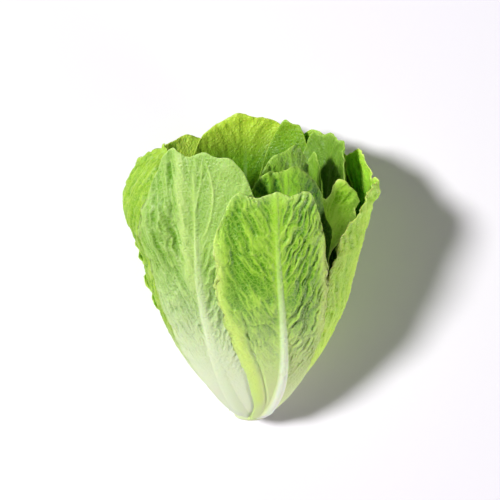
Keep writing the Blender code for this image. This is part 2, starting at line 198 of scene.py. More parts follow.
@dataclass(frozen=True)
class Leaf:
    """One leaf. Lengths are in millimetres and angles in degrees."""

    name: str
    azimuth: float  # of the midrib, towards the tip
    foot: float  # height at which it leaves the stem
    tip: float  # height of its tip
    width: float  # greatest half width
    nest: float  # 0 lies along the stem, 1 is the outermost shell
    slot: Slot = Slot.OUTER
    lean: float = 0.0  # how far the upper half leans outwards
    curl: float = 3.0  # how far the tip curls in again
    sway: float = 0.0  # how much larger the midrib's azimuth is at the foot
    square: float = 2.6  # how square the top is
    flare: float = 0.0  # how far the margin at the higher azimuths flares out
    low_wide: float = 1.0  # width of the half at the lower azimuths, as a share of the half width
    high_wide: float = 1.0
    high_late: float = 0.0  # share of that half's width that it only gains near the tip
    narrow: float = 0.16  # how much narrower the leaf is again at the tip, as a share
    curl_from: float = 0.78  # where the tip starts to curl in
    lean_from: float = 0.5  # where it starts to lean out
    lean_over: float = 0.45  # share of the length over which it does
    wave: float = 1.5  # height of the waves along the margins
    waves: float = 3.0
    phase: float = 0.0
    grid: tuple[int, int] = (60, 120)  # faces across it and along it
    finish: Finish = field(default_factory=Finish)
    pucker: float = 0.8  # height of the blisters between the veins
    pitch: float = 5.5  # distance between the side veins low on the leaf
    spread: float = 3.5  # how much wider apart they are at the tip
    lead: float = 0.9  # how far a side vein rises for each step away from the midrib
    bow: float = 0.008  # and how much it bends upwards on its way
    stretch: float = 2.4  # length of a blister along the veins over its width
    vein: float = 0.45  # height of the side veins on the outer face
    rib_rise: float = 1.0  # how proud the midrib stands, as a share of the solid's
    rib_wide: float = 1.0  # how wide its pale band is, as a share of the solid's midrib
    ruffle: float = 1.2  # how far the margin's crimps stand out of the sheet
    teeth: float = 0.7  # depth of the margin's fine teeth
    rim_wide: float = 2.2  # width of the pale strip along the margin
    crest: tuple[tuple[float, float], ...] = ()  # (place across, rise) along the top edge
    calm: tuple[float, float, float, float] = (0.0, 0.0, 0.0, 0.0)  # smooth patch: across, up, radii
    pleats: tuple[Pleat, ...] = ()


FRONT_LEFT = Finish(
    hollow=(120, 166, 50), blade=(168, 202, 100), vein=(180, 206, 130), rib=(222, 234, 194),
    base=(226, 236, 200), rim=(178, 210, 114), pale=(198, 222, 134), base_from=0.12, base_to=0.68,
)
FRONT = Finish(
    hollow=(88, 148, 10), blade=(164, 213, 54), vein=(188, 222, 94), rib=(240, 250, 224),
    base=(218, 234, 166), rim=(200, 228, 130), pale=(220, 247, 124), base_from=0.06, base_to=0.72,
)
LEFT = Finish(
    hollow=(104, 154, 6), blade=(152, 190, 44), vein=(182, 210, 88), inner_hollow=(54, 112, 2),
    inner_blade=(100, 156, 20), inner_tip=(164, 204, 62), rim=(180, 212, 88),
)
# The right leaf's outer colours are lightened as painted light on the side that faces away from the key.
RIGHT_PAINTED_LIGHT = replace(
    LEFT, hollow=(156, 212, 26), blade=(204, 248, 86), vein=(216, 248, 122), base=(204, 226, 136),
    base_to=0.3, inner_hollow=(70, 140, 6), inner_blade=(124, 186, 28), inner_tip=(184, 226, 70),
    rim=(212, 236, 122),
)
# Inner colours lightened as painted light on the flared margin strip, which lies in shade.
BELLY_PAINTED_LIGHT = replace(
    LEFT, inner_hollow=(150, 196, 40), inner_blade=(190, 224, 80), inner_vein=(204, 232, 110),
    inner_tip=(190, 224, 80), rim=(206, 232, 124),
)
REAR = Finish(
    hollow=(112, 160, 30), blade=(150, 190, 60), inner_hollow=(52, 106, 0), inner_blade=(98, 154, 0),
    inner_vein=(140, 182, 38), inner_tip=(216, 240, 80), rim=(186, 210, 70), tip_from=0.80,
)
REAR_RIGHT = replace(REAR, inner_tip=(134, 176, 32), rim=(170, 202, 66))
# Its inner colours and tip are lightened as painted light: the leaf lies in the shade of the leaves in front
# of it.
REAR_LEFT_PAINTED_LIGHT = replace(
    REAR, inner_hollow=(120, 168, 16), inner_blade=(176, 212, 60), inner_vein=(206, 230, 110),
    inner_tip=(214, 236, 96), tip_from=0.60,
)
INNER = Finish(
    hollow=(88, 144, 14), blade=(138, 188, 44), vein=(176, 210, 98), inner_hollow=(60, 116, 4),
    inner_blade=(108, 156, 26), inner_vein=(156, 190, 84), inner_tip=(118, 162, 44), rim=(172, 206, 92),
)
# Lighter colours and a painted glow for a leaf that lies in shade: painted light.
BRIGHT_PAINTED_LIGHT = replace(
    INNER, hollow=(120, 178, 20), blade=(168, 216, 56), vein=(190, 226, 96), inner_hollow=(106, 178, 4),
    inner_blade=(152, 218, 24), inner_vein=(196, 234, 98), inner_tip=(176, 226, 60), rim=(220, 246, 130),
    painted_glow=0.24,
)
# Very dark hollow: partly the leaf's own deep green, partly painted shade where its right side turns away
# into the cavity.
NEAR_PAINTED_SHADE = replace(INNER, hollow=(56, 116, 0), blade=(152, 204, 44), vein=(152, 196, 56), rough=0.6)
FOLDED = replace(
    INNER, inner_hollow=(56, 108, 0), inner_blade=(92, 140, 14), inner_vein=(150, 184, 82),
    inner_tip=(112, 152, 44),
)
HEART = Finish(
    hollow=(150, 186, 60), blade=(190, 216, 104), vein=(214, 230, 150), inner_hollow=(150, 186, 60),
    inner_blade=(190, 216, 104), inner_tip=(190, 216, 104), rim=(206, 226, 130),
)

FRAME_LEAVES: tuple[Leaf, ...] = (
    Leaf("leaf_inner_rear_left", -150, 27, 192, 40, 0.42, Slot.INNER, finish=INNER, grid=(32, 64)),
    Leaf("leaf_inner_left", -60, 26, 190, 42, 0.48, Slot.INNER, phase=1.0, finish=INNER, grid=(32, 64)),
    Leaf("leaf_inner_crinkled", 42, 25, 257, 44, 0.42, Slot.INNER, wave=3, waves=5, finish=INNER,
         grid=(70, 140), pucker=1.1),
    Leaf("leaf_inner_rear_right", 108, 24, 240, 34, 0.54, Slot.INNER, wave=2.5, waves=4, finish=INNER,
         grid=(56, 120), pucker=1.0),
    Leaf("leaf_folded_tip", 122, 22, 252, 44, 0.78, Slot.INNER, square=6, wave=2.5, waves=4, phase=2,
         finish=FOLDED, grid=(74, 130), pucker=1.4, vein=0.8, teeth=0.3),
    Leaf("leaf_right_margin", 44, 18, 217, 46, 0.68, Slot.INNER, flare=20, high_wide=1.02, high_late=0.55,
         square=6, crest=((-1, 0), (0.5, 0), (1, 38)), wave=1, waves=5, finish=BRIGHT_PAINTED_LIGHT, grid=(90, 160),
         ruffle=1.6, teeth=1.8),
    # Its pleat darkens a band along the right margin as painted shade: that side turns away into the cavity.
    Leaf("leaf_inner_front", 22, 20, 247, 45, 0.72, Slot.INNER, square=3.5, waves=2.5, finish=NEAR_PAINTED_SHADE,
         grid=(80, 150), pucker=1.4, pleats=(Pleat(0.50, 0.92, 1.12, 0.80, -1.2, 11.0, pale=-1.3),)),
    Leaf("leaf_rear_fold", 157, 19, 257, 28, 0.84, Slot.INNER, finish=REAR_RIGHT, grid=(48, 130)),
    Leaf("leaf_rear_right", 140, 16, 248, 50, 0.93, square=3.5, wave=2, finish=REAR_RIGHT, grid=(70, 120)),
    Leaf("leaf_rear", -177, 14, 259, 61, 0.93, square=3.2, wave=2.5, phase=0.6, finish=REAR, grid=(96, 150),
         pucker=0.7),
    Leaf("leaf_rear_left", -143, 12, 242, 58, 0.95, square=3.5, phase=2.2, finish=REAR_LEFT_PAINTED_LIGHT,
         grid=(80, 120), pucker=0.5),
    Leaf("leaf_left", -101, 9, 245, 80, 0.95, square=4, lean=13, lean_from=0.6, lean_over=0.26, curl=28,
         curl_from=0.74, narrow=0.0, waves=4, phase=1.2, finish=LEFT, grid=(124, 176), pucker=1.6,
         ruffle=1.8, teeth=0.8, pitch=8, stretch=1.1,
         crest=((-1, -18), (0, -14), (0.3, -1), (0.6, 18), (0.85, 36), (1, 44))),
    Leaf("leaf_right", 98, 8, 240, 84, 0.95, square=4, lean=6, lean_from=0.6, lean_over=0.35, curl=8,
         wave=2, waves=5, finish=RIGHT_PAINTED_LIGHT, grid=(124, 176), pucker=1.2, ruffle=2.2, teeth=1.4,
         crest=((-1, 4), (-0.8, -8), (-0.5, -17), (-0.3, -17), (-0.22, -14), (-0.1, -16), (0.3, 0), (1, 0)),
         pleats=(Pleat(0.82, -0.26, 1.04, -0.26, 4.5, 3.0),)),
    Leaf("leaf_front_left", -28, 4, 261, 56, 0.96, sway=8, square=9, lean=-10, narrow=0.23, high_wide=1.08,
         waves=4, phase=0.4, finish=FRONT_LEFT, grid=(140, 250), pucker=1.25, vein=0.3, lead=1.3,
         pitch=7, spread=5, stretch=1.9, rib_rise=0.5, rib_wide=1.6, calm=(0.38, 0.86, 0.8, 0.22),
         crest=((-1, 6), (-0.7, 3), (-0.4, 0), (-0.14, -1.5), (0.05, 0), (0.3, 1), (1, 0)),
         # Grooves whose pale is negative are painted shade: dark lines along the folds.
         pleats=(
             Pleat(0.50, -0.04, 1.08, -0.42, 1.6, 5.5, pale=0.55, bend=-0.02),
             Pleat(0.58, -0.22, 1.06, -0.68, -2.4, 2.4, pale=-0.35, bend=-0.04),
             Pleat(0.50, -0.36, 0.98, -0.96, -2.0, 2.6, pale=-0.3, bend=-0.02),
             Pleat(0.70, 0.08, 1.04, 0.06, -0.8, 10.0, pale=-0.5, bend=0.02),
             Pleat(0.60, 0.0, 0.98, -0.06, 0.7, 1.6, pale=0.5),
             Pleat(0.80, -0.02, 0.98, 0.14, 0.8, 1.1, pale=0.5),
             Pleat(0.70, 0.0, 1.0, 0.14, 1.0, 1.3, pale=0.6, bend=0.22),
             Pleat(0.64, 0.06, 0.96, 0.90, 0.5, 1.6, pale=0.3, bend=0.10),
         )),
    Leaf("leaf_belly_left", -156, 6, 222, 60, 0.98, wave=2, waves=6, flare=2, high_wide=1.5, finish=BELLY_PAINTED_LIGHT,
         grid=(96, 110), ruffle=2.2, teeth=1.8),
    Leaf("leaf_belly_right", 160, 5, 228, 60, 1.0, wave=1, waves=4, phase=2.0, finish=BELLY_PAINTED_LIGHT, grid=(60, 96)),
    Leaf("leaf_front", 11, 3, 234, 46, 1.0, sway=24, square=8, narrow=0.05, low_wide=1.12, high_wide=0.94,
         waves=4, phase=1.5, finish=FRONT, grid=(140, 260), pucker=1.15, vein=0.55, pitch=6.5, spread=3,
         ruffle=0.5, stretch=1.3, rib_wide=1.3, rim_wide=4.0, teeth=1.3, lead=1.0,
         # Grooves whose pale is negative are painted shade: dark lines along the folds and beside the left
         # margin.
         pleats=(
             Pleat(0.04, -0.46, 0.66, -0.66, -1.8, 1.5, pale=-0.5, bend=-0.05),
             Pleat(0.58, -0.66, 1.02, -0.62, -1.2, 4.0, pale=-0.6, bend=-0.04),
             Pleat(0.06, -0.80, 0.56, -0.86, 0.8, 6.5, pale=0.8),
             Pleat(0.46, -0.94, 0.96, -0.98, 1.0, 5.0, pale=0.7),
             Pleat(0.36, 0.94, 0.88, 0.92, 0.8, 4.5, pale=0.6),
             Pleat(0.30, 0.50, 0.80, 0.55, -0.6, 6.0, pale=-0.3),
         )),
)


def heart_leaves(count: int = 6, golden_angle: float = 137.5) -> tuple[Leaf, ...]:
    """The small leaves of the heart, each a golden angle on from the last and longer than it.

    Args:
        count: number of leaves.
        golden_angle: degrees from one leaf to the next.

    Returns:
        The leaves, innermost first.
    """
    shares = [i / (count - 1) for i in range(count)]
    return tuple(
        Leaf(f"leaf_heart_{i + 1}", 60 + golden_angle * i, 46 - 15 * share, 150 + 34 * share, 20 + 18 * share,
             0.10 + 0.26 * share, Slot.HEART, phase=1.3 * i, finish=HEART, grid=(24, 50), pucker=0.5)
        for i, share in enumerate(shares)
    )


@dataclass(frozen=True)
class HeadForm:
    """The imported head's form: the shells that the leaves keep to and the surface that presses them."""

    shell_start: float = 16 * MM
    shell_spread: float = 95 * MM
    shell_rise: float = 78 * MM
    depth_share: float = 0.8
    lie_angle: float = math.radians(20)
    press: float = 9 * MM
    press_soft: float = 0.06
    flat_snap: float = 0.6 * MM
    centre_x: float = 2.25 * MM
    centre_y: float = -132.6 * MM
    cut_radius: float = 15.5 * MM
    cut_bevel: float = 1 * MM
    stem_waist: float = 15 * MM
    stem_top: float = 5 * MM
    stem_height: float = 58 * MM
    blade: float = 0.9 * MM
    rib_base: float = 3.2 * MM
    rib_tip: float = 0.5 * MM
    thick_base: float = 0.6 * MM
    thick_up_to: float = 0.35
    root_height: float = 14 * MM
    rib_half_base: float = 8 * MM
    rib_half_tip: float = 1.6 * MM
    full_width: float = 60 * MM
    base_share: float = 0.23
    broadest: float = 0.66
    broadening: float = 1.25
    lobes: float = 4.5
    lobe_share: float = 0.025
    top_wave: float = 1.8 * MM
    top_waves: int = 3
    top_round: float = 0.24
    flare_from: float = 0.3
    wave_shift: float = 0.9
    gap_foot: float = 1.1 * MM
    gap_top: float = 1.7 * MM
    gap_height: float = 70 * MM
    beyond: float = 4 * MM
    taper: float = 1.3  # exponent of the stem's narrowing
    late_from: float = 0.72  # where a half that is wide only near the tip starts to widen
    late_over: float = 0.22

    def stem_radius(self, h: Floats) -> Floats:
        """Radius of the stem at height h: a short drum under a blunt cone.

        Args:
            h: heights above the cut.

        Returns:
            The radius there, 0 above the stem.
        """
        share = np.clip(h / self.stem_height, 0.0, 1.0)
        cone = self.stem_waist + (self.stem_top - self.stem_waist) * share**self.taper
        return np.where(h < self.stem_height, cone, 0.0)

    def surface_depth(self, heights: Floats) -> float:
        """How far the surface lies below the cut's centre.

        Args:
            heights: heights along the whole axis.

        Returns:
            The depth of the outermost shell's lowest point, less the press.
        """
        shell = self.shell_start + self.shell_spread * (1 - np.exp(-heights / self.shell_rise))
        below = shell * self.depth_share * math.cos(self.lie_angle) - heights * math.sin(self.lie_angle)
        return float(below.max()) - self.press


class Sheet:
    """One leaf's own form at an array of heights, before the other leaves lift it."""

    def __init__(self, form: HeadForm, leaf: Leaf, h: Floats) -> None:
        """Works out what hangs on the heights alone.

        The shell widens from the stem, fast at first, towards its spread. The midrib's azimuth sways as the
        square of the share still to go. The half width grows as a sine up to the broadest place and closes as
        a parabola above it, with shallow lobes. The midrib tapers as the 1.5th power of the share to go.

        Args:
            form: the head's form.
            leaf: the leaf.
            h: heights.
        """
        self.form, self.leaf, self.h = form, leaf, h
        self.t = t = self.share_up()
        foot = leaf.foot * MM
        self.rooted = smooth_step((h - foot) / form.root_height)
        rise = 1 - np.exp(-np.maximum(h - foot, 0) / form.shell_rise)
        self.shell = form.stem_radius(np.asarray(foot)) + leaf.nest * form.shell_spread * rise
        self.midrib = leaf.azimuth + leaf.sway * (1 - t) ** 2
        growth = np.sin(np.minimum(t / form.broadest, 1.0) * math.pi / 2) ** form.broadening
        closing = 1 - leaf.narrow * np.clip((t - form.broadest) / (1 - form.broadest), 0.0, 1.0) ** 2
        lobes = 1 + form.lobe_share * growth * np.sin(2 * math.pi * form.lobes * t + 2 * leaf.phase)
        self.half = leaf.width * MM * (form.base_share + (1 - form.base_share) * growth) * closing * lobes
        self.rib_size = min(1.0, leaf.width * MM / form.full_width)
        wide = form.rib_half_base * self.rib_size
        self.rib_half = form.rib_half_tip + (wide - form.rib_half_tip) * (1 - t) ** 1.5

    def share_up(self, most: float = 1.0) -> Floats:
        """How far up the leaf the heights are: 0 at its foot and below, 1 at its tip, no more than most."""
        leaf = self.leaf
        return np.clip((self.h - leaf.foot * MM) / ((leaf.tip - leaf.foot) * MM), 0.0, most)

    def side_share(self, side: Floats) -> Floats:
        """Width of the half on one side of the midrib, as a share of the half width.

        Args:
            side: negative for the half at the lower azimuths.

        Returns:
            The half's own share, less what it only gains near the tip.
        """
        late = 1 - smooth_step((self.t - self.form.late_from) / self.form.late_over)
        return np.where(side < 0, self.leaf.low_wide, self.leaf.high_wide * (1 - self.leaf.high_late * late))

    def across(self, azimuth: Floats) -> Floats:
        """Place across the blade: 0 on the midrib, -1 and 1 on the margins."""
        turn = (azimuth - self.midrib + 180) % 360 - 180
        return np.radians(turn) * self.shell / (self.half * self.side_share(turn))

    def rib_part(self, u: Floats) -> Floats:
        """What the midrib adds to the thickness: a parabola across it, lower towards the tip.

        Args:
            u: places across the leaf.

        Returns:
            The added thickness.
        """
        x = np.abs(u) * self.half / self.rib_half
        rib = self.form.rib_base * self.rib_size * (1 - self.t) + self.form.rib_tip
        return rib * np.clip(1 - x * x, 0.0, 1.0) * self.rooted

    def thickness(self, u: Floats) -> Floats:
        """Thickness: the blade, the fleshy base and the midrib, thin again at the root."""
        base = self.form.thick_base * np.clip(1 - self.t / self.form.thick_up_to, 0.0, 1.0)
        return self.form.blade + base * self.rooted + self.rib_part(u)

    def free_radius(self, azimuth: Floats) -> Floats:
        """The radius that the leaf would take with nothing inside it.

        Args:
            azimuth: degrees round the axis.

        Returns:
            The shell's radius, with the lean outwards, less the tip's curl, with the flared margin and the
            margins' waves.
        """
        form, leaf = self.form, self.leaf
        t = self.share_up(1.1)
        u = self.across(azimuth)
        edge = np.clip(np.abs(u), 0.0, 1.1) ** 2
        beat = np.sin(2 * math.pi * leaf.waves * t + leaf.phase + form.wave_shift * np.sign(u))
        lean = leaf.lean * smooth_step((t - leaf.lean_from) / leaf.lean_over) * (1 - edge / 2)
        curl = leaf.curl * np.clip((t - leaf.curl_from) / (1 - leaf.curl_from), 0.0, 1.1) ** 2
        ramp = np.clip((u - form.flare_from) / (1 - form.flare_from), 0.0, 1.25) ** 2
        flare = leaf.flare * ramp * smooth_step(2 * t) * self.side_share(u)
        wave = leaf.wave * edge * smooth_step(t / form.broadest) * beat
        return self.shell + (lean - curl + flare + wave) * MM


class LaidHead:
    """The leaves' sheets, laid one round another on a grid over azimuth and height, and pressed."""

    AZIMUTH_STEP = 2.0
    HEIGHT_STEP = 1.5 * MM
    HIGHEST = 300 * MM
    STEEPEST = 2.5  # limit of a sheet's slope factor
    DOWNWARD = 0.2  # rays that point down by less than this reach no surface

    def __init__(self, form: HeadForm, leaves: tuple[Leaf, ...]) -> None:
        """Lays the leaves from the heart outwards.

        Args:
            form: the head's form.
            leaves: the leaves, innermost first.
        """
        self.form = form
        self.azimuths = np.arange(0.0, 360.0, self.AZIMUTH_STEP)
        self.heights = np.arange(0.0, self.HIGHEST, self.HEIGHT_STEP)
        self.azimuth, self.height = np.meshgrid(self.azimuths, self.heights, indexing="ij")
        self.depth = form.surface_depth(self.heights)
        self.sheets, stack = self.lay(leaves)
        self.press = self.press_share(stack)

    @staticmethod
    def spread_max(values: Floats, round_cells: int, up_cells: int) -> Floats:
        """The largest value within so many cells of each cell. Azimuths wrap round.

        Args:
            values: a field on the grid.
            round_cells: how many cells round the axis.
            up_cells: how many along it.

        Returns:
            The field of those values.
        """
        for _ in range(round_cells):
            values = np.maximum(values, np.maximum(np.roll(values, 1, 0), np.roll(values, -1, 0)))
        for _ in range(up_cells):
            padded = np.pad(values, ((0, 0), (1, 1)), mode="edge")
            values = np.maximum(values, np.maximum(padded[:, :-2], padded[:, 2:]))
        return values

    @staticmethod
    def blurred(values: Floats, rounds: int) -> Floats:
        """A field after so many rounds of a three-cell average, both ways. Azimuths wrap round.

        Args:
            values: the field on the grid.
            rounds: how many rounds.

        Returns:
            The smoother field.
        """
        for _ in range(rounds):
            values = (np.roll(values, 1, 0) + 2 * values + np.roll(values, -1, 0)) / 4
            padded = np.pad(values, ((0, 0), (1, 1)), mode="edge")
            values = (padded[:, :-2] + 2 * values + padded[:, 2:]) / 4
        return values

    def covered(self, own: Sheet) -> NDArray[np.bool_]:
        """Where on the grid a leaf is, with a little round it.

        Args:
            own: the leaf's own form on the grid.

        Returns:
            True there.
        """
        inside = np.abs(own.across(self.azimuth)) < 1 + self.form.beyond / own.half
        above = self.height > own.leaf.foot * MM - 2 * self.HEIGHT_STEP
        return inside & above & (self.height < own.leaf.tip * MM + 2 * self.HEIGHT_STEP)

    def radial_thickness(self, own: Sheet, radius: Floats) -> Floats:
        """Thickness along the radius: the leaf's own, times the sheet's slope factor.

        Args:
            own: the leaf's own form on the grid.
            radius: the sheet's radius on the grid.

        Returns:
            The thickness. The factor is the root of 1 and both slopes' squares, up to the steepest.
        """
        up = np.gradient(radius, self.HEIGHT_STEP, axis=1)
        turn = (np.roll(radius, -1, 0) - np.roll(radius, 1, 0)) / (2 * math.radians(self.AZIMUTH_STEP))
        slope = np.sqrt(1 + up**2 + (turn / np.maximum(radius, self.form.stem_top)) ** 2)
        return own.thickness(own.across(self.azimuth)) * np.minimum(slope, self.STEEPEST)

    def lay(self, leaves: tuple[Leaf, ...]) -> tuple[dict[str, Floats], Floats]:
        """Lays each leaf over the stack so far, lifted where it would come nearer than the gap.

        Args:
            leaves: the leaves, innermost first.

        Returns:
            Each leaf's sheet by name, and the outside of the whole stack.
        """
        form = self.form
        opening = np.clip(self.height / form.gap_height, 0.0, 1.0)
        gap = form.gap_foot + (form.gap_top - form.gap_foot) * opening
        stack = np.repeat(form.stem_radius(self.heights)[None, :], len(self.azimuths), axis=0)
        sheets = {}
        for leaf in leaves:
            own = Sheet(form, leaf, self.height)
            there = self.covered(own)
            free = own.free_radius(self.azimuth)
            lift = np.where(there, np.maximum(stack + gap - free, 0.0), 0.0)
            lift = self.blurred(self.spread_max(lift, round_cells=3, up_cells=2), rounds=5)
            foot_share = smooth_step((self.height - leaf.foot * MM) / (3 * self.HEIGHT_STEP))
            lift = np.maximum(lift * foot_share, np.where(there, stack + gap - free, 0.0))
            sheets[leaf.name] = laid = free + lift
            stack = np.where(there, np.maximum(stack, laid + self.radial_thickness(own, laid)), stack)
        return sheets, stack

    def press_share(self, stack: Floats) -> Floats:
        """How much each ray from the axis is shortened where the head is pressed on its surface.

        Args:
            stack: the outside of the whole stack.

        Returns:
            The share of the radius that is left, 1 where nothing presses.
        """
        form = self.form
        down = -np.cos(np.radians(self.azimuth)) * form.depth_share * math.cos(form.lie_angle)
        reach = self.depth + self.height * math.sin(form.lie_angle)
        reach = np.where(down > self.DOWNWARD, reach / np.maximum(down, self.DOWNWARD), 1.0)
        reach = reach - form.flat_snap / 2
        outside = self.blurred(self.spread_max(stack, round_cells=4, up_cells=0), rounds=8)
        excess = 1 - reach / np.maximum(outside, form.stem_top)
        soft = np.clip(excess + form.press_soft, 0.0, 2 * form.press_soft) ** 2 / (4 * form.press_soft)
        return 1 - np.maximum(np.where(excess > form.press_soft, excess, soft), 0.0)

    @staticmethod
    def cubic(f: Floats) -> list[Floats]:
        """The four weights of a Catmull-Rom curve at share f between its middle two points.

        Args:
            f: the share.

        Returns:
            The weights, each a cubic in f.
        """
        return [
            (-f + 2 * f**2 - f**3) / 2,
            (2 - 5 * f**2 + 3 * f**3) / 2,
            (f + 4 * f**2 - 3 * f**3) / 2,
            (-(f**2) + f**3) / 2,
        ]

    def sample(self, values: Floats, azimuth: Floats, h: Floats) -> Floats:
        """A grid field between the grid's points, smooth both ways.

        Args:
            values: the field on the grid.
            azimuth: degrees round the axis.
            h: heights.

        Returns:
            The field there, by a Catmull-Rom curve each way.
        """
        a = azimuth / self.AZIMUTH_STEP
        b = np.clip(h / self.HEIGHT_STEP, 0.0, len(self.heights) - 1.001)
        a0, b0 = np.floor(a).astype(int), np.floor(b).astype(int)
        along_a, along_b = self.cubic(a - a0), self.cubic(b - b0)
        total = np.zeros(np.broadcast(a, b).shape)
        for i in range(4):
            for j in range(4):
                rows = (a0 + i - 1) % len(self.azimuths)
                columns = np.clip(b0 + j - 1, 0, len(self.heights) - 1)
                total += along_a[i] * along_b[j] * values[rows, columns]
        return total

    def lying(self, azimuth: Floats, radius: Floats, h: Floats) -> Floats:
        """Points of the standing head in the row frame: flattened, laid on the belly, centred.

        Args:
            azimuth: degrees round the axis.
            radius: distances from the axis.
            h: heights along it.

        Returns:
            Points, x y z in the last axis. The axis rises by the lie angle, and the side at azimuth 0 is up.
        """
        turn = np.radians(azimuth)
        up = radius * np.cos(turn) * self.form.depth_share
        rise, run = math.sin(self.form.lie_angle), math.cos(self.form.lie_angle)
        x = self.form.centre_x + radius * np.sin(turn)
        y = self.form.centre_y + h * run - up * rise
        return np.stack([x, y, self.depth + h * rise + up * run], axis=-1)


